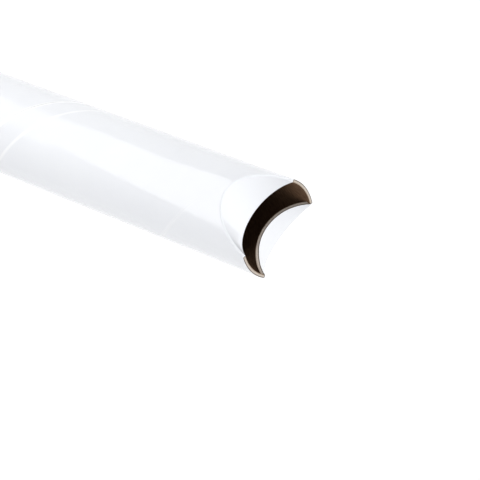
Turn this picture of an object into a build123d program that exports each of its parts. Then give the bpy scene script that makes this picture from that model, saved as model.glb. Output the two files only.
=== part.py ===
"""A cardboard mailing tube, wound in one piece and closed at the top by two folded-in flaps.

The tube stands on its open end. The origin is the centre of the base ring, +Z runs up the tube,
and the flaps are on the front (-Y) and back (+Y). All lengths are millimetres.

Card can't stretch, so when a tube's wall is pushed in along a curved score, the flap keeps the
wall's curve, but hollow side out. That is exactly the mirror image of the wall in the flat plane
that holds the crease. So each fold here cuts the wound wall at that plane and mirrors the piece
beyond it back across the plane. The face that was the bore's then stands for the outer paper,
so a flap carries the paper's seam on that face.
"""

import os
from math import cos, radians

from build123d import *

# Wound tube
bore_diameter = 50.8
wall = 1.9
usable_length = 304.8

# Folds: how far each crease dips below the rim, and half the arc of rim that its flap takes
front_fold_dip = 23.0
front_fold_half_arc = 69.0
back_fold_dip = 21.0
back_fold_half_arc = 65.5

# The bend along each crease, as shares of the wall: how far it stands out past the crease
# plane, and how much its two edges are rounded
bend_height_share = 0.4
bend_rounding_share = 0.4

# Score lines, pressed into the outside where the flaps of the open end would fold
score_width = 0.9
score_depth = 0.35

# Seam of the outer paper, wound left-handed: its rise in one turn, the gap between the paper's
# edges, its depth, and the angle round from +X at which it leaves the base
seam_lead = 158.0
seam_width = 0.5
seam_depth = 0.2
seam_base_angle = -73.0

# Worked out from the sizes above
bore_radius = bore_diameter / 2
outer_radius = bore_radius + wall
end_allowance = max(front_fold_dip, back_fold_dip)
tube_length = usable_length + 2 * end_allowance
bend_height = bend_height_share * wall
bend_rounding = bend_rounding_share * wall
overrun = wall

# Each fold has a side (-1 is the front, 1 is the back), a dip and a half arc
folds = [
    (-1, front_fold_dip, front_fold_half_arc),
    (1, back_fold_dip, back_fold_half_arc),
]


def crease_plane(side, dip, half_arc, rim_height, outward):
    """The plane of one crease. It faces out of the tube's end, where outward is 1 or -1 in Z.

    It passes through the chord between the flap's two corners on the rim, and through the
    lowest point of the crease on the outside of the tube.
    """
    chord_offset = outer_radius * cos(radians(half_arc))
    chord_height = outer_radius - chord_offset
    facing = Vector(0, side * dip, outward * chord_height)
    return Plane(origin=(0, side * chord_offset, rim_height), x_dir=(1, 0, 0), z_dir=facing)


def seam_strip(low_radius, high_radius):
    """The helical strip between two radii that the seam takes away, along the whole tube."""
    turn = seam_base_angle + 360 * overrun / seam_lead
    with BuildPart() as strip:
        with BuildLine():
            path = Helix(
                pitch=seam_lead,
                height=tube_length + 2 * overrun,
                radius=(low_radius + high_radius) / 2,
                center=(0, 0, -overrun),
                lefthand=True,
            )
        with BuildSketch(Plane(origin=path @ 0, x_dir=(1, 0, 0), z_dir=path % 0)):
            Rectangle(high_radius - low_radius, seam_width)
        sweep(is_frenet=True)
    return strip.part.rotate(Axis.Z, turn)


def bend_outside(crease):
    """The card on the outside of a bend, between the wall's face and the flap's face."""
    with BuildPart() as bore:
        with BuildSketch(Plane.XY):
            Circle(bore_radius)
        extrude(amount=2 * tube_length)
    with BuildPart() as bend:
        with BuildSketch(Plane.XY):
            Circle(outer_radius)
        extrude(amount=tube_length)
        split(bisect_by=crease, keep=Keep.TOP)
        split(bisect_by=crease.offset(bend_height), keep=Keep.BOTTOM)
        mirror(bore.part, about=crease, mode=Mode.SUBTRACT)
    return bend.part


# Score lines of the open end: one thin curved groove for each flap that isn't folded
with BuildPart() as scores:
    for side, dip, half_arc in folds:
        with BuildSketch(crease_plane(side, dip, half_arc, 0, -1)):
            Rectangle(4 * outer_radius, 4 * outer_radius)
        extrude(amount=score_width / 2, both=True)
    with BuildSketch(Plane.XY):
        Circle(outer_radius + overrun)
        Circle(outer_radius - score_depth, mode=Mode.SUBTRACT)
    extrude(amount=tube_length, mode=Mode.INTERSECT)

# The wall as it is wound, before its end is folded
with BuildPart() as wound:
    with BuildSketch(Plane.XY):
        Circle(outer_radius)
        Circle(bore_radius, mode=Mode.SUBTRACT)
    extrude(amount=tube_length)

creases = [crease_plane(side, dip, half_arc, tube_length, 1) for side, dip, half_arc in folds]
bends = [bend_outside(crease) for crease in creases]
wall_seam = seam_strip(outer_radius - seam_depth, outer_radius + overrun)
flap_seam = seam_strip(bore_radius - overrun, bore_radius + seam_depth)

# The flaps before they are pushed in, with the seam on the face that will stand for the outside
flaps = []
for crease in creases:
    with BuildPart() as flap:
        add(wound.part)
        add(flap_seam, mode=Mode.SUBTRACT)
        split(bisect_by=crease, keep=Keep.TOP)
    flaps.append(flap.part)

# The finished tube: scored at the open end, folded at the other, with the seam cut last
with BuildPart() as tube:
    add(wound.part)
    add(scores.part, mode=Mode.SUBTRACT)
    for crease, bend, flap in zip(creases, bends, flaps):
        split(bisect_by=crease, keep=Keep.BOTTOM)
        mirror(flap, about=crease)
        add(bend)
        ridge = tube.faces().filter_by(crease).sort_by(SortBy.AREA)[-1]
        fillet(ridge.edges().filter_by(GeomType.ELLIPSE), radius=bend_rounding)
    add(wall_seam, mode=Mode.SUBTRACT)

tube.part.label = "tube"

os.makedirs("parts", exist_ok=True)
export_step(tube.part, "parts/tube.step")
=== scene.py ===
"""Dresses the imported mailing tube: white coated paper wound over brown board, with folded-in flaps.

The whole tube is one skin. Every column of it runs up the paper, over the cut edge, down the
board and back under the base. At a fold the column leaves the wall at the crease and goes on as
its mirror image in the crease plane, because a pushed-in flap keeps the wall's curve, hollow side
out. Angles run from the front (-Y) towards +X. All lengths are metres.
"""

import math

import bmesh
import bpy
import numpy as np
from mathutils import Matrix, Vector


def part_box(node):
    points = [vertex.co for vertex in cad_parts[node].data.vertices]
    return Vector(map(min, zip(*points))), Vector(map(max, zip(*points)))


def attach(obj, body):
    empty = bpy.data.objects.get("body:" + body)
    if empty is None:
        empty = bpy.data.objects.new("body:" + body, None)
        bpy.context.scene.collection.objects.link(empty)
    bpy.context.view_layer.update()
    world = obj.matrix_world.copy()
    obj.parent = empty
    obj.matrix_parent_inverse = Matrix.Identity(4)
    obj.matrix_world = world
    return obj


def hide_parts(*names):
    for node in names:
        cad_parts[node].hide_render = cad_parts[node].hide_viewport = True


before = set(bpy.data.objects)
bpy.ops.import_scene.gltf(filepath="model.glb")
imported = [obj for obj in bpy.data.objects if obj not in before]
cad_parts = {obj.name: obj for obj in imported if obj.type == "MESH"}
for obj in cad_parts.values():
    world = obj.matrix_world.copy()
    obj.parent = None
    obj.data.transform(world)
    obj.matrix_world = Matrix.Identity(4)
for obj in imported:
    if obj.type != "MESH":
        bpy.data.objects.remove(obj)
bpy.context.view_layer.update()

MM = 0.001
TURN = 2 * math.pi

# Sizes of the object

_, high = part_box("tube")
LENGTH = high.z
OUTER = high.x
WALL = 1.9 * MM
# Each fold: the angle that it faces, how far its crease dips below the rim, half its arc of rim
FOLDS = [
    (0.0, 23.0 * MM, math.radians(69.0)),
    (math.pi, 21.0 * MM, math.radians(65.5)),
]

# The outer paper is set back a little from the CAD model's face, to leave room for its relief
INSET = 0.15 * MM
HALF = (WALL - INSET) / 2
MIDDLE = OUTER - INSET - HALF
# Just below the rim, what would rise past it is pressed together over this height
RIM_PRESS = 0.25 * MM

# The outer paper's seam, wound left-handed: its rise in one turn, the angle at which it leaves
# the base, half its gap, and the relief across it, at distances in half gaps
SEAM_LEAD = 158.0 * MM
SEAM_BASE_ANGLE = math.radians(17.0)
SEAM_HALF = 0.34 * MM
SEAM_PROFILE = (
    (0.0, 0.55, 0.95, 1.5, 2.8, 4.6),
    (-0.15 * MM, -0.15 * MM, 0.1 * MM, 0.12 * MM, 0.06 * MM, 0.0),
)
SEAM_SLOPE = math.atan(SEAM_LEAD / (TURN * OUTER))
STRIP_WIDTH = SEAM_LEAD * math.cos(SEAM_SLOPE)
STRIP_TURN = math.hypot(SEAM_LEAD, TURN * OUTER)
# The edge of the ply below, which shows through as a faint ridge above the seam
RIDGE_RISE = 20.0 * MM
RIDGE_HALF = 1.6 * MM
RIDGE_HEIGHT = 0.05 * MM
# From the first of these heights up the seam's lips lie flatter. At the second they are at their
# flattest, with this share of their relief.
LIPS_FROM, LIPS_TO = 225.0 * MM, 318.0 * MM
FLAT_LIP_SHARE = 0.1
# Slow waves of the paper: how many go round the tube, radians per metre of height, phase, share
WAVES = ((2, 31, 1.1, 1.0), (3, -83, 0.0, 0.7), (5, 140, 2.3, 0.4))
WAVE_HEIGHT = 0.012 * MM
# The seam of the bore's own ply: its rise above the outer seam, its depth, and where it ends, in
# half gaps
INNER_SEAM_RISE = 61.0 * MM
INNER_SEAM_DEPTH = 0.15 * MM
INNER_SEAM_END = 1.4

# Score lines of the open end: half their width, their depth, and shares of both across a line
SCORE_HALF = 0.745 * MM
SCORE_DEPTH = 0.35 * MM
SCORE_SHARES = (
    (-1.0, 0.0), (-0.75, 0.45), (-0.35, 0.95), (0.0, 1.0), (0.35, 0.95), (0.75, 0.45), (1.0, 0.0),
)
# Near the base they fade out within this height
SCORE_FADE = 0.5 * MM

# Cut edges: rounded corners, the grooves between the plies, and the card's fuzz
EDGE_CORNER = 0.09 * MM
EDGE_CORNER_SHARE = 0.03
PLIES = 6
PLY_GROOVE = 0.035 * MM
EDGE_FUZZ = 0.02 * MM
# The fuzz is the product of two waves: how many go round the tube, and radians across the wall
FUZZ_WAVES = ((23, 9), (7, -14))
# One end of the back flap is cut at a slant: how much sooner the paper side ends than the board
# side, and the middle and half width of that stretch
SLANT, SLANT_MIDDLE, SLANT_REACH = 1.1 * MM, math.radians(139.0), math.radians(25.0)

# Fineness of the mesh

# Columns stand this far apart, and closer where the seam crosses the near crease
COLUMN_STEP = math.radians(1.0)
FINE_STEP = math.radians(0.2)
FINE_FROM, FINE_TO = math.radians(-17.0), math.radians(-6.0)
# No plain column is closer to a flap's corner than this
CORNER_ROOM = 0.3 * COLUMN_STEP
# A column this close to a flap's corner, in radians, is at that corner
AT_CORNER = 1e-7
# Steps from wall to flap at a flap's corner, round a bend, and along a flap's board
FAN_STEPS = 8
BEND_STEPS = 10
BOARD_STEPS = 4
# The least height of card that stands past the crease line, and where the cut corners begin
STUB = 0.25 * MM
CORNER = 0.2 * MM
# Rows by their distance from the base, from the crease and from the end of a flap
BASE_ROWS = (CORNER, 0.5 * MM, 1.5 * MM)
CREASE_ROWS = (3.0 * MM, 1.8 * MM, 1.0 * MM, 0.5 * MM, 0.2 * MM, 0.0)
END_ROWS = (1.0 * MM, 0.5 * MM, CORNER)
# Rows that follow a seam: shares of the ridge's half width, and heights above the seam of the
# plain rows of the paper and of the bore
RIDGE_SHARES = (-1.0, -0.5, 0.0, 0.5, 1.0)
PLAIN_PAPER_ROWS = [7.0 * MM, 12.5 * MM] + [(27.5 + 10.4 * k) * MM for k in range(13)]
PLAIN_BORE_ROWS = [(8.0 + 12.9 * k) * MM for k in range(12)]
# Rows across a cut edge, from the paper to the bore
EDGE_SHARES = (0.0, 0.035, 0.1, 0.25, 0.333, 0.417, 0.5, 0.583, 0.667, 0.75, 0.9, 0.965, 1.0)
# Corners of the skin closer than MERGE become one, and what is then thinner than NO_LENGTH closes
# up. JOIN does both for the finished mesh.
MERGE = 0.002 * MM
NO_LENGTH = 0.001 * MM
JOIN = 0.03 * MM
# The cube that starts the union, well inside the wall
SEED_SIZE = 0.4 * MM
# Edges that are sharper than this stay crisp
SHARP_ANGLE = math.radians(32)

# The skin's material slots
PAPER, BOARD, EDGE = range(3)


def chord(half_arc):
    """How far the line between a flap's two corners is from the tube's axis."""
    return OUTER * math.cos(half_arc)


def fold_normal(facing, dip, half_arc):
    """The direction square to a fold's crease plane, out of the folded end."""
    rise = OUTER - chord(half_arc)
    way = np.array([math.sin(facing) * dip, -math.cos(facing) * dip, rise])
    return way / np.linalg.norm(way)


def around(angle, start):
    """The angle measured from another one, such as the way that a fold faces, from -pi to pi."""
    return (angle - start + math.pi) % TURN - math.pi


def crease_drop(angle, radius):
    """How far below the rim the crease is at this angle, and the fold that it belongs to."""
    for fold in FOLDS:
        facing, dip, half_arc = fold
        turn = around(angle, facing)
        if abs(turn) < math.pi / 2:
            drop = dip * (radius * math.cos(turn) - chord(half_arc)) / (OUTER - chord(half_arc))
            if drop > 0:
                return drop, fold
    return 0.0, None


def corner_reach(half_arc):
    """Half the angle between a flap's two corners, at the middle of the wall."""
    return math.acos(chord(half_arc) / MIDDLE)


def nearest_fold(angle):
    return min(FOLDS, key=lambda fold: abs(around(angle, fold[0])))


def at_corner(angle):
    facing, _, half_arc = nearest_fold(angle)
    return abs(abs(around(angle, facing)) - corner_reach(half_arc)) < AT_CORNER


def seam_height(angle):
    return SEAM_LEAD * (SEAM_BASE_ANGLE - angle) / TURN


def off_helix(z, angle, rise):
    """Height above the nearest turn of a helix, from minus to plus half a lead."""
    gap = z - seam_height(angle) - rise
    return (gap + SEAM_LEAD / 2) % SEAM_LEAD - SEAM_LEAD / 2


def paper_relief(angle, z):
    """How far the paper stands out at this place of the unfolded wall."""
    out = np.interp(np.abs(off_helix(z, angle, 0)) / SEAM_HALF, *SEAM_PROFILE)
    ridge = np.clip(1 - np.abs(off_helix(z, angle, RIDGE_RISE)) / RIDGE_HALF, 0, 1)
    out = out + RIDGE_HEIGHT * ridge * ridge * (3 - 2 * ridge)
    out = out * np.interp(z, (LIPS_FROM, LIPS_TO), (1.0, FLAT_LIP_SHARE))
    wave = sum(share * np.sin(n * angle + rise * z + phase) for n, rise, phase, share in WAVES)
    return float(out + WAVE_HEIGHT * wave)


def board_relief(angle, z):
    gap = np.abs(off_helix(z, angle, INNER_SEAM_RISE)) / SEAM_HALF
    depths = (INNER_SEAM_DEPTH, INNER_SEAM_DEPTH, 0.0)
    return -float(np.interp(gap, (0.0, 1.0, INNER_SEAM_END), depths))


def slant(angle):
    """How much sooner the paper side of the cut edge ends than the board side."""
    near = max(0.0, 1 - (around(angle, SLANT_MIDDLE) / SLANT_REACH) ** 2)
    return SLANT * near * near


def edge_recess(share, angle):
    """How far the cut edge falls back at a share of the wall, from the paper to the bore."""
    to_corners = math.exp(-share / EDGE_CORNER_SHARE) + math.exp(-(1 - share) / EDGE_CORNER_SHARE)
    plies = 0.5 + 0.5 * math.cos(TURN * share * PLIES)
    fuzz = 1 + math.prod(math.sin(n * angle + across * share) for n, across in FUZZ_WAVES)
    return EDGE_CORNER * to_corners + PLY_GROOVE * plies + EDGE_FUZZ * fuzz


def spread(first, last, step):
    """Angles from the first to the last, one step apart, rounded so that equal ones match."""
    return [round(first + k * step, 9) for k in range(round((last - first) / step) + 1)]


def columns():
    """(angle, share of the bend that is turned) for every column of the mesh, once round."""
    corners = []
    for facing, _, half_arc in FOLDS:
        reach = corner_reach(half_arc)
        corners += [(facing - reach, 1), (facing + reach, -1)]
    made = []
    for angle in {*spread(-math.pi, math.pi, COLUMN_STEP), *spread(FINE_FROM, FINE_TO, FINE_STEP)}:
        if min(abs(around(angle, corner)) for corner, _ in corners) > CORNER_ROOM:
            made.append((angle, 0, 1.0))
    for corner, way in corners:
        for k in range(FAN_STEPS + 1):
            made.append((around(corner, 0.0), k * way, k / FAN_STEPS))
    made.sort()
    return [(angle, share) for angle, _, share in made]


def rows_along(pattern):
    """Heights at angle zero of the rows that follow the seam.

    A column moves them by up to half a lead, so they reach further than that past both ends.
    """
    spare = 0.6 * SEAM_LEAD
    turns = range(-1, math.ceil(LENGTH / SEAM_LEAD) + 1)
    rows = sorted(seam_height(0) + turn * SEAM_LEAD + rise for turn in turns for rise in pattern)
    return [z for z in rows if -spare < z < LENGTH + spare]


def paper_rows():
    near = [away * SEAM_HALF for away in SEAM_PROFILE[0][1:]]
    ridge = [RIDGE_RISE + share * RIDGE_HALF for share in RIDGE_SHARES]
    return rows_along([0.0] + near + ridge + PLAIN_PAPER_ROWS + [SEAM_LEAD - z for z in near])


def bore_rows():
    near = [away * SEAM_HALF for away in (-INNER_SEAM_END, -1.0, 1.0, INNER_SEAM_END)]
    return rows_along([INNER_SEAM_RISE + rise for rise in near + PLAIN_BORE_ROWS])


ALONG_PAPER = paper_rows()
ALONG_BORE = bore_rows()


def profile(angle, share):
    """One column's closed outline: rows of (place, unfolded height, depth share, material)."""
    radial = np.array([math.sin(angle), -math.cos(angle), 0.0])
    up = np.array([0.0, 0.0, 1.0])
    drop, fold = crease_drop(angle, MIDDLE)
    if fold is None and at_corner(angle):
        fold = nearest_fold(angle)
    crease = LENGTH - max(drop, STUB)
    centre = radial * MIDDLE + up * crease

    # The flap's own directions: out of its paper side, and along it to its cut edge
    white, end_along, full = radial, up, 0.0
    if fold is not None:
        normal = fold_normal(*fold)
        white = -(radial - 2 * (radial @ normal) * normal)
        along = up - 2 * (up @ normal) * normal
        end_along = up * (1 - share) + along * share
        end_along = end_along / np.linalg.norm(end_along)
        full = math.acos(max(-1.0, min(1.0, float(radial @ white))))
    turned = full * share

    def direction(turn):
        if full == 0.0:
            return radial
        return (math.sin(full - turn) * radial + math.sin(turn) * white) / math.sin(full)

    end_face = direction(turned)
    shear = SEAM_LEAD * angle / TURN
    rows = []

    def wall_paper(z, pressed=0.0):
        place = radial * (MIDDLE + HALF + paper_relief(angle, z) - pressed) + up * z
        rows.append((place, z, 0.0, PAPER))

    def wall_board(z):
        place = radial * (MIDDLE - HALF - board_relief(angle, z)) + up * z
        rows.append((place, z, 1.0, BOARD))

    def flap_paper(z):
        out = HALF + paper_relief(angle, z)
        rows.append((centre + end_along * (z - crease) + end_face * out, z, 0.0, PAPER))

    def flap_board(z):
        out = HALF + board_relief(angle, z)
        rows.append((centre + end_along * (z - crease) - end_face * out, z, 1.0, BOARD))

    # The paper, from the base up: below the score, across it, and on to the crease
    score, _ = crease_drop(angle, OUTER)
    bottom = BASE_ROWS[-1]
    score_low = max(score - SCORE_HALF, bottom)
    score_high = max(score + SCORE_HALF, bottom) if score > 0 else bottom
    for z in BASE_ROWS:
        wall_paper(z)
    for row in ALONG_PAPER:
        wall_paper(min(max(row - shear, bottom), score_low))
    for off, deep in SCORE_SHARES:
        z = max(score + off * SCORE_HALF, bottom) if score > 0 else bottom
        fade = min(1.0, (z - bottom) / SCORE_FADE)
        wall_paper(z, SCORE_DEPTH * deep * fade)
    for row in ALONG_PAPER:
        wall_paper(min(max(row - shear, score_high), crease - CREASE_ROWS[0]))
    for below in CREASE_ROWS:
        wall_paper(crease - below)

    # The bend, and the flap's paper out to its cut edge
    for k in range(1, BEND_STEPS):
        turn = min(full * k / BEND_STEPS, turned)
        place = centre + direction(turn) * (HALF + paper_relief(angle, crease))
        rows.append((place, crease, 0.0, PAPER))
    paper_end = LENGTH - slant(angle)
    start = min(crease + CREASE_ROWS[0], paper_end - CORNER)
    for above in reversed(CREASE_ROWS):
        flap_paper(min(crease + above, start))
    for row in ALONG_PAPER:
        flap_paper(min(max(row - shear, start), max(paper_end - END_ROWS[0], start)))
    for below in END_ROWS:
        flap_paper(max(paper_end - below, start))

    # The cut edge, from the paper to the bore's side
    tip = centre + end_along * (LENGTH - crease)
    for depth in EDGE_SHARES:
        side = 1 - 2 * depth
        lift = paper_relief(angle, LENGTH) * max(side, 0.0)
        back = edge_recess(depth, angle) + slant(angle) * (1 - depth)
        place = tip + end_face * (side * HALF + lift) - end_along * back
        rows.append((place, LENGTH, depth, EDGE))

    # The flap's board, back to the crease
    start = min(crease + CREASE_ROWS[0], LENGTH - CORNER)
    for below in reversed(END_ROWS):
        flap_board(max(LENGTH - below, start))
    for k in range(BOARD_STEPS + 1):
        flap_board(start + (max(LENGTH - END_ROWS[0], start) - start) * (1 - k / BOARD_STEPS))
    for above in (END_ROWS[0], 0.0):
        flap_board(min(crease + above, start))

    # The bore, down to the base, and the base's cut edge, out to the paper
    for below in reversed(CREASE_ROWS):
        wall_board(crease - below)
    for row in reversed(ALONG_BORE):
        wall_board(min(max(row - shear, bottom), crease - CREASE_ROWS[0]))
    for z in reversed(BASE_ROWS):
        wall_board(z)
    for depth in reversed(EDGE_SHARES):
        place = radial * (MIDDLE + (1 - 2 * depth) * HALF) + up * edge_recess(depth, angle)
        rows.append((place, 0.0, depth, EDGE))
    return rows


def wind_map(angles, heights, depths, on_edge):
    """UVs of the faces' corners, four to a face.

    On paper and board, u runs along the wound strip and v across it from the seam, in metres. On
    a cut edge, u runs round the tube in metres, and v is the share of the wall.
    """
    turn = np.floor((heights - seam_height(angles)).mean(1) / SEAM_LEAD)[:, None]
    x, y = OUTER * angles, heights - seam_height(0) - turn * SEAM_LEAD
    along = x * math.cos(SEAM_SLOPE) - y * math.sin(SEAM_SLOPE) - turn * STRIP_TURN
    across = x * math.sin(SEAM_SLOPE) + y * math.cos(SEAM_SLOPE)
    return np.stack([np.where(on_edge, x, along), np.where(on_edge, depths, across)], axis=-1)


def skin_mesh():
    """The whole skin, with its flaps still running into the wall beside their corners."""
    cols = columns()
    # The last column is the first again, one turn on
    cols.append((cols[0][0] + TURN, cols[0][1]))
    made = [profile(angle, share) for angle, share in cols]
    points = np.array([[place for place, _, _, _ in rows] for rows in made])
    heights = np.array([[height for _, height, _, _ in rows] for rows in made])
    depths = np.array([[depth for _, _, depth, _ in rows] for rows in made])
    slots = np.array([slot for _, _, _, slot in made[0]])
    over = np.maximum(points[:, :, 2] - (LENGTH - RIM_PRESS), 0.0)
    points[:, :, 2] += RIM_PRESS * (1 - np.exp(-over / RIM_PRESS)) - over

    n_cols, n_rows = heights.shape
    index = np.arange(n_cols * n_rows).reshape(n_cols, n_rows)
    after = np.roll(index, -1, axis=1)
    quads = np.stack([index[:-1], index[1:], after[1:], after[:-1]], axis=-1).reshape(-1, 4)
    row_slot = np.where(slots == np.roll(slots, -1), slots, EDGE)
    face_slot = np.tile(row_slot, n_cols - 1)
    angles = np.repeat([angle for angle, _ in cols], n_rows)
    on_edge = (face_slot == EDGE)[:, None]
    uvs = wind_map(angles[quads], heights.reshape(-1)[quads], depths.reshape(-1)[quads], on_edge)

    mesh = bpy.data.meshes.new("tube_skin")
    mesh.from_pydata(points.reshape(-1, 3).tolist(), [], quads.tolist())
    mesh.uv_layers.new(name="wind").data.foreach_set("uv", uvs.astype(np.float32).reshape(-1))
    mesh.polygons.foreach_set("material_index", face_slot.astype(np.int32))
    bm = bmesh.new()
    bm.from_mesh(mesh)
    bmesh.ops.remove_doubles(bm, verts=bm.verts, dist=MERGE)
    bmesh.ops.dissolve_degenerate(bm, dist=NO_LENGTH, edges=bm.edges)
    if bm.calc_volume(signed=True) < 0:
        bmesh.ops.reverse_faces(bm, faces=bm.faces)
    bm.to_mesh(mesh)
    bm.free()
    return mesh


def linked(name, data):
    made = bpy.data.objects.new(name, data)
    bpy.context.scene.collection.objects.link(made)
    return made


def without_slivers(mesh):
    """Joins corners that all but meet, and takes away the faces that this closes up."""
    bm = bmesh.new()
    bm.from_mesh(mesh)
    bmesh.ops.remove_doubles(bm, verts=bm.verts, dist=JOIN)
    bmesh.ops.dissolve_degenerate(bm, dist=JOIN, edges=bm.edges)
    bmesh.ops.triangulate(bm, faces=bm.faces)
    # Where a sliver of card has closed up, two faces lie on each other, and both go
    bm.verts.index_update()
    lying = {}
    for face in bm.faces:
        lying.setdefault(frozenset(corner.index for corner in face.verts), []).append(face)
    stuck = [face for faces in lying.values() if len(faces) > 1 for face in faces]
    bmesh.ops.delete(bm, geom=stuck, context="FACES")
    fins = [face for face in bm.faces if any(len(edge.link_faces) == 1 for edge in face.edges)]
    bmesh.ops.delete(bm, geom=fins, context="FACES")
    bm.to_mesh(mesh)
    bm.free()


def united(mesh):
    """The skin without what lies inside the card, where a flap meets the wall."""
    skin = linked("tube_card", mesh)
    for made in (paper_material(), board_material(), edge_material()):
        mesh.materials.append(made)
    bm = bmesh.new()
    bmesh.ops.create_cube(bm, size=SEED_SIZE)
    bmesh.ops.translate(bm, verts=bm.verts, vec=Vector((MIDDLE, 0, LENGTH / 2)))
    seed_mesh = bpy.data.meshes.new("seed")
    bm.to_mesh(seed_mesh)
    bm.free()
    seed = linked("seed", seed_mesh)
    union = skin.modifiers.new("union", "BOOLEAN")
    union.operation = "UNION"
    union.solver = "EXACT"
    union.use_self = True
    union.object = seed
    depsgraph = bpy.context.evaluated_depsgraph_get()
    clean = bpy.data.meshes.new_from_object(skin.evaluated_get(depsgraph))
    skin.modifiers.remove(union)
    without_slivers(clean)
    skin.data = clean
    bpy.data.objects.remove(seed)
    return skin


def smoothed(skin):
    """Smooth faces, with the cut edges and the card's inner corners kept crisp."""
    mesh = skin.data
    mesh.polygons.foreach_set("use_smooth", np.ones(len(mesh.polygons), bool))
    mesh.set_sharp_from_angle(angle=SHARP_ANGLE)
    return skin


# Nodes


def node(tree, kind, inputs=None, **settings):
    made = tree.nodes.new(kind)
    for key, value in settings.items():
        setattr(made, key, value)
    for key, value in (inputs or {}).items():
        if isinstance(value, bpy.types.NodeSocket):
            tree.links.new(value, made.inputs[key])
        else:
            made.inputs[key].default_value = value
    return made


def math_node(tree, operation, *values):
    return node(tree, "ShaderNodeMath", dict(enumerate(values)), operation=operation).outputs[0]


def noise(tree, coords, scale, detail=2.0, rough=0.5, stretch=None):
    if stretch:
        inputs = {"Vector": coords, "Scale": stretch}
        coords = node(tree, "ShaderNodeMapping", inputs).outputs["Vector"]
    inputs = {"Vector": coords, "Scale": scale, "Detail": detail, "Roughness": rough}
    return node(tree, "ShaderNodeTexNoise", inputs).outputs["Fac"]


def ramp(tree, value, stops):
    made = node(tree, "ShaderNodeValToRGB", {"Fac": value})
    elements = made.color_ramp.elements
    while len(elements) < len(stops):
        elements.new(0.5)
    for element, (at, colour) in zip(elements, stops):
        element.position = at
        element.color = (*colour, 1.0)
    return made.outputs["Color"]


def mapped(tree, value, low_out, high_out, low_in, high_in):
    inputs = {"Value": value, "From Min": low_in, "From Max": high_in}
    inputs |= {"To Min": low_out, "To Max": high_out}
    return node(tree, "ShaderNodeMapRange", inputs).outputs["Result"]


def scaled(tree, colour, tone):
    inputs = {0: colour, "Scale": tone}
    return node(tree, "ShaderNodeVectorMath", inputs, operation="SCALE").outputs["Vector"]


def blended(tree, share, first, second):
    made = node(tree, "ShaderNodeMix", {0: share, 6: first, 7: (*second, 1.0)}, data_type="RGBA")
    return made.outputs[2]


def bump(tree, height, distance, strength=1.0, normal=None):
    inputs = {"Height": height, "Distance": distance, "Strength": strength}
    if normal is not None:
        inputs["Normal"] = normal
    return node(tree, "ShaderNodeBump", inputs).outputs["Normal"]


def emission(tree, strength):
    inputs = {"Color": (1.0, 1.0, 1.0, 1.0), "Strength": strength}
    return node(tree, "ShaderNodeEmission", inputs).outputs[0]


def diffuse(tree, grey):
    return node(tree, "ShaderNodeBsdfDiffuse", {"Color": (grey, grey, grey, 1.0)}).outputs[0]


def mixed(tree, share, first, second):
    return node(tree, "ShaderNodeMixShader", {0: share, 1: first, 2: second}).outputs[0]


def seen_rays(tree):
    """1 for what the camera sees straight or in gloss, and 0 for the light that falls on things."""
    path = node(tree, "ShaderNodeLightPath")
    return math_node(tree, "MAXIMUM", path.outputs["Is Camera Ray"], path.outputs["Is Glossy Ray"])


def empty_tree(owner):
    owner.use_nodes = True
    owner.node_tree.nodes.clear()
    return owner.node_tree


def new_material(name):
    material = bpy.data.materials.new(name)
    return material, empty_tree(material)


def principled(tree, inputs):
    shader = node(tree, "ShaderNodeBsdfPrincipled", inputs)
    node(tree, "ShaderNodeOutputMaterial", {"Surface": shader.outputs["BSDF"]})


# The tube's materials

# Most of a noise's values lie in this range. Its scale is in features per metre.
NOISE_RANGE = (0.3, 0.7)

# The paper's tints, the painted highlight white of its seam's lips, and the share of it that the
# ply's ridge has
PAPER_TINTS = ((0.3, (0.835, 0.845, 0.87)), (0.7, (0.855, 0.865, 0.885)))
LIP_HIGHLIGHT = (0.965, 0.967, 0.97)
RIDGE_HIGHLIGHT_SHARE = 0.75
# That painted highlight reaches out to the first of these distances, and is gone by the second
LIP_FADE = (0.7 * MM, 1.5 * MM)
RIDGE_FADE = (0.4 * MM, 1.3 * MM)
CLOUD_SCALE, GRAIN_SCALE, DAPPLE_SCALE, BLOTCH_SCALE = 26.0, 1100.0, 650.0, 170.0
GRAIN_BUMP, DAPPLE_BUMP, BLOTCH_BUMP = 0.01 * MM, 0.025 * MM, 0.08 * MM

BOARD_TINTS = (
    (0.28, (0.085, 0.044, 0.022)),
    (0.5, (0.14, 0.078, 0.042)),
    (0.75, (0.22, 0.13, 0.074)),
)
# Features per metre along the wound strip and across it
FIBRE_STRETCH = (260.0, 1500.0, 1.0)
STAIN_STRETCH = (45.0, 90.0, 1.0)
FLECK_STRETCH = (900.0, 2600.0, 1.0)
FIBRE_BUMP = 0.05 * MM

# The cut edge's colours at shares of the wall, from the paper to the bore: white paper and a band
# of painted shade under it, tan plies with lines between them, and brown plies on the bore's side
EDGE_WHITE, EDGE_SHADE = (0.5, 0.48, 0.45), (0.11, 0.085, 0.068)
EDGE_TAN, EDGE_LINE = (0.56, 0.495, 0.43), (0.36, 0.295, 0.235)
EDGE_BROWN, EDGE_BORE = (0.37, 0.295, 0.225), (0.16, 0.11, 0.075)
PAPER_SHARES = ((0.0, EDGE_WHITE), (0.01, EDGE_WHITE), (0.035, EDGE_SHADE), (0.22, EDGE_SHADE))
TAN_FROM_SHARE, TAN_TO_SHARE = 0.3, 0.74
PLY_LINE_SHARES, PLY_LINE_HALF_SHARE = (0.38, 0.51, 0.64), 0.025
BROWN_SHARES = ((0.78, EDGE_LINE), (0.82, EDGE_BROWN), (0.93, EDGE_BROWN), (0.98, EDGE_BORE))
# How far these colours waver
WAVER_SHARE = 0.03
WAVER_SCALE, FUZZ_SCALE = 160.0, 1900.0
FUZZ_RANGE = (0.28, 0.72)
FUZZ_BUMP = 0.08 * MM


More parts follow.
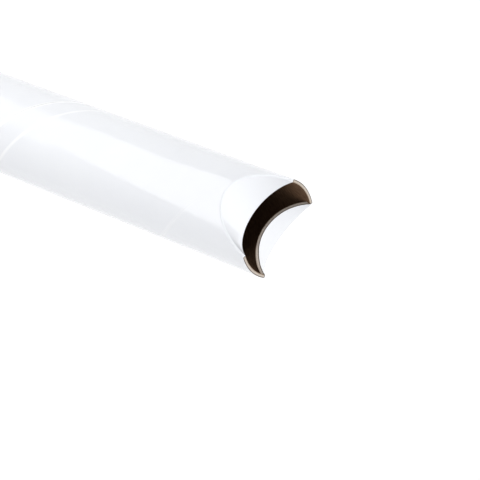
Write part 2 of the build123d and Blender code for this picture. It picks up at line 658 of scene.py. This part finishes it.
def paper_material():
    material, tree = new_material("white_paper")
    place = node(tree, "ShaderNodeTexCoord").outputs["Object"]
    rise = node(tree, "ShaderNodeSeparateXYZ", {"Vector": place}).outputs["Z"]
    wind = node(tree, "ShaderNodeUVMap", uv_map="wind").outputs["UV"]
    across = node(tree, "ShaderNodeSeparateXYZ", {"Vector": wind}).outputs["Y"]
    cloud = noise(tree, place, CLOUD_SCALE, detail=3.0)
    grain = noise(tree, place, GRAIN_SCALE)
    dapple = noise(tree, place, DAPPLE_SCALE, detail=1.0)
    blotch = noise(tree, place, BLOTCH_SCALE, detail=1.0)

    # Painted highlight: the seam's lips and the ply ridge are whiter, fading with the lips' relief
    from_seam = math_node(tree, "PINGPONG", across, STRIP_WIDTH / 2)
    above_ridge = math_node(tree, "SUBTRACT", across, RIDGE_RISE * math.cos(SEAM_SLOPE))
    from_ridge = math_node(tree, "ABSOLUTE", above_ridge)
    lip_highlight = mapped(tree, from_seam, 1.0, 0.0, *LIP_FADE)
    ridge_highlight = mapped(tree, from_ridge, RIDGE_HIGHLIGHT_SHARE, 0.0, *RIDGE_FADE)
    flatter = mapped(tree, rise, 1.0, 0.0, LIPS_FROM, LIPS_TO)
    painted_highlight = math_node(tree, "MULTIPLY", math_node(tree, "MAXIMUM", lip_highlight, ridge_highlight), flatter)

    pressed = bump(tree, blotch, BLOTCH_BUMP)
    principled(tree, {
        "Base Color": blended(tree, painted_highlight, ramp(tree, cloud, PAPER_TINTS), LIP_HIGHLIGHT),
        "Roughness": mapped(tree, dapple, 0.36, 0.5, *NOISE_RANGE),
        "Normal": bump(tree, grain, GRAIN_BUMP, strength=0.7),
        "Specular IOR Level": 0.1,
        "Coat Weight": 1.0,
        "Coat Roughness": 0.04,
        "Coat IOR": 1.65,
        "Coat Normal": bump(tree, dapple, DAPPLE_BUMP, normal=pressed),
    })
    return material


def board_material():
    material, tree = new_material("kraft_board")
    wind = node(tree, "ShaderNodeUVMap", uv_map="wind").outputs["UV"]
    fibre = noise(tree, wind, 1.0, detail=4.0, rough=0.6, stretch=FIBRE_STRETCH)
    stain = noise(tree, wind, 1.0, detail=3.0, stretch=STAIN_STRETCH)
    fleck = noise(tree, wind, 1.0, detail=1.0, stretch=FLECK_STRETCH)
    tone = mapped(tree, stain, 0.86, 1.12, *NOISE_RANGE)
    principled(tree, {
        "Base Color": scaled(tree, ramp(tree, fibre, BOARD_TINTS), tone),
        "Roughness": mapped(tree, fleck, 0.75, 0.95, *NOISE_RANGE),
        "Normal": bump(tree, fibre, FIBRE_BUMP, strength=0.8),
        "Specular IOR Level": 0.25,
    })
    return material


def edge_material():
    material, tree = new_material("cut_board_edge")
    wind = node(tree, "ShaderNodeUVMap", uv_map="wind").outputs["UV"]
    share = node(tree, "ShaderNodeSeparateXYZ", {"Vector": wind}).outputs["Y"]
    place = node(tree, "ShaderNodeTexCoord").outputs["Object"]
    wander = noise(tree, place, WAVER_SCALE)
    waver = mapped(tree, wander, -WAVER_SHARE, WAVER_SHARE, *NOISE_RANGE)
    fuzz = noise(tree, place, FUZZ_SCALE, detail=3.0, rough=0.65)
    tone = mapped(tree, fuzz, 0.78, 1.18, *FUZZ_RANGE)
    stops = [*PAPER_SHARES, (TAN_FROM_SHARE, EDGE_TAN)]
    for line in PLY_LINE_SHARES:
        stops.append((line - PLY_LINE_HALF_SHARE, EDGE_TAN))
        stops.append((line, EDGE_LINE))
        stops.append((line + PLY_LINE_HALF_SHARE, EDGE_TAN))
    stops += [(TAN_TO_SHARE, EDGE_TAN), *BROWN_SHARES]
    plies = ramp(tree, math_node(tree, "ADD", share, waver), stops)
    principled(tree, {
        "Base Color": scaled(tree, plies, tone),
        "Roughness": 0.9,
        "Normal": bump(tree, fuzz, FUZZ_BUMP, strength=0.9),
        "Specular IOR Level": 0.2,
    })
    return material


tube = smoothed(united(skin_mesh()))
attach(tube, "root")
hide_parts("tube")

# Floor and backdrop

FLOOR_RADIUS = 9.0
FLOOR_SIDES = 96
# The floor lies this much lower than the tube's base
FLOOR_DROP = 0.2 * MM
# The floor's grey for the light that it gives back, and its grey and glow as the camera sees it
FLOOR_GREY, FLOOR_SEEN, FLOOR_GLOW = 0.68, 0.45, 0.62
# Between these distances from the tube the floor turns from lit card to the plain white backdrop
BACKDROP_FROM, BACKDROP_TO = 0.5, 1.2
SKY_COLOUR, SKY_STRENGTH = (0.94, 0.96, 1.0, 1.0), 0.45


def distance(tree):
    """How far a place of the floor or the light panel is from the foot of the tube's axis."""
    spot = node(tree, "ShaderNodeTexCoord").outputs["Object"]
    return node(tree, "ShaderNodeVectorMath", {0: spot}, operation="LENGTH").outputs["Value"]


def floor_material():
    """White card. The camera sees it partly lit and partly glowing, so the tube's shadow stays."""
    material, tree = new_material("studio_floor")
    lit = {0: diffuse(tree, FLOOR_SEEN), 1: emission(tree, FLOOR_GLOW)}
    near = node(tree, "ShaderNodeAddShader", lit).outputs[0]
    far = mapped(tree, distance(tree), 0.0, 1.0, BACKDROP_FROM, BACKDROP_TO)
    seen = mixed(tree, far, near, emission(tree, 1.0))
    surface = mixed(tree, seen_rays(tree), diffuse(tree, FLOOR_GREY), seen)
    node(tree, "ShaderNodeOutputMaterial", {"Surface": surface})
    return material


bm = bmesh.new()
bmesh.ops.create_circle(bm, cap_ends=True, segments=FLOOR_SIDES, radius=FLOOR_RADIUS)
floor_mesh = bpy.data.meshes.new("floor")
bm.to_mesh(floor_mesh)
bm.free()
floor_mesh.materials.append(floor_material())
floor = linked("floor", floor_mesh)
floor.location.z = -FLOOR_DROP

world = bpy.data.worlds.new("studio")
bpy.context.scene.world = world
tree = empty_tree(world)
sky = node(tree, "ShaderNodeBackground", {"Color": SKY_COLOUR, "Strength": SKY_STRENGTH})
white = node(tree, "ShaderNodeBackground", {"Color": (1.0, 1.0, 1.0, 1.0), "Strength": 1.0})
surface = mixed(tree, seen_rays(tree), sky.outputs[0], white.outputs[0])
node(tree, "ShaderNodeOutputWorld", {"Surface": surface})

# Lamps

LAMP_SIZE = 1.2
# The lamps aim at this share of the tube's height
AIM_SHARE = 0.7
LAMP_AIM = Vector((0, 0, LENGTH * AIM_SHARE))
# Name, place, power and whether gloss mirrors it. The folded flaps face the top lamp, so it isn't
# mirrored in their gloss.
LAMPS = (
    ("key", (-0.9, -1.5, 0.7), 10.7, True),
    ("top", (-0.1, 0.3, 1.7), 16.0, False),
    ("fill", (1.6, -0.3, 0.5), 8.2, True),
)
for name, place, power, mirrored in LAMPS:
    data = bpy.data.lights.new(name, "AREA")
    data.size = LAMP_SIZE
    data.energy = power
    lamp = linked(name, data)
    lamp.location = place
    lamp.rotation_euler = (LAMP_AIM - Vector(place)).to_track_quat("-Z", "Y").to_euler()
    lamp.visible_camera = False
    lamp.visible_glossy = mirrored

# A low light panel lies on the floor in front, and shows as the long highlight on the paper. Its
# two long edges are given as angles from the front towards +X, in degrees, at distances from the
# axis. They are uneven, with slow waves and fine teeth, whose spreads are in degrees too.
PANEL_REACH = (0.12, 0.28, 0.333, 0.37, 0.62)
PANEL_LEFT = (-37.0, -37.0, -38.0, -41.0, -43.0)
PANEL_RIGHT = (19.0, 17.0, 28.0, 45.0, 54.0)
LEFT_WAVE, LEFT_TEETH = 2.5, 3.5
RIGHT_WAVE, RIGHT_TEETH = 3.0, 9.0
# A slow wave is the sum of this many draws, scaled so that its spread stays one
WAVE_DRAWS = 9
PANEL_STEP = 0.007
PANEL_HEIGHT = 0.004
# The strength at the first of these distances from the axis, and from the second on
PANEL_STRENGTH = (1.75, 2.5)
PANEL_STRENGTH_AT = (0.2, 0.42)

rng = np.random.default_rng(11)
steps = np.arange(PANEL_REACH[0], PANEL_REACH[-1], PANEL_STEP)
count = len(steps)


def panel_edge(angles, wave, teeth):
    """Angles of one long edge of the panel at every step, in radians."""
    parts = np.ones(WAVE_DRAWS) / math.sqrt(WAVE_DRAWS)
    slow = np.convolve(rng.normal(size=count + WAVE_DRAWS - 1), parts, "valid")
    fine = rng.normal(size=count)
    return np.radians(np.interp(steps, PANEL_REACH, angles) + wave * slow + teeth * fine)


left = panel_edge(PANEL_LEFT, LEFT_WAVE, LEFT_TEETH)
right = panel_edge(PANEL_RIGHT, RIGHT_WAVE, RIGHT_TEETH)
corners = [
    (away * math.sin(angle), -away * math.cos(angle), PANEL_HEIGHT)
    for edge in (left, right)
    for away, angle in zip(steps, edge)
]
strips = [(k, k + 1, k + 1 + count, k + count) for k in range(count - 1)]
panel_mesh = bpy.data.meshes.new("low_panel")
panel_mesh.from_pydata(corners, [], strips)
panel_material, tree = new_material("low_panel")
strength = mapped(tree, distance(tree), *PANEL_STRENGTH, *PANEL_STRENGTH_AT)
node(tree, "ShaderNodeOutputMaterial", {"Surface": emission(tree, strength)})
panel_mesh.materials.append(panel_material)
panel = linked("low_panel", panel_mesh)
panel.visible_camera = False

# Camera

# Where the camera is, and the directions of the picture's right side, its top and the view
CAMERA_PLACE = Vector((0.3380, -1.04026, 1.26064))
CAMERA_RIGHT = Vector((-0.52798, 0.46759, 0.70894))
CAMERA_UP = Vector((-0.81842, -0.50305, -0.27772))
CAMERA_VIEW = Vector((-0.22678, 0.72684, -0.64829))
SENSOR_WIDTH, FOCAL_LENGTH = 36.0, 203.69

camera_data = bpy.data.cameras.new("camera")
camera_data.sensor_width = SENSOR_WIDTH
camera_data.lens = FOCAL_LENGTH
camera_data.clip_start, camera_data.clip_end = 0.05, 60.0
camera = linked("camera", camera_data)
matrix = Matrix((CAMERA_RIGHT, CAMERA_UP, -CAMERA_VIEW)).transposed().to_4x4()
matrix.translation = CAMERA_PLACE
camera.matrix_world = matrix
bpy.context.scene.camera = camera

bpy.context.scene.view_settings.view_transform = "Standard"
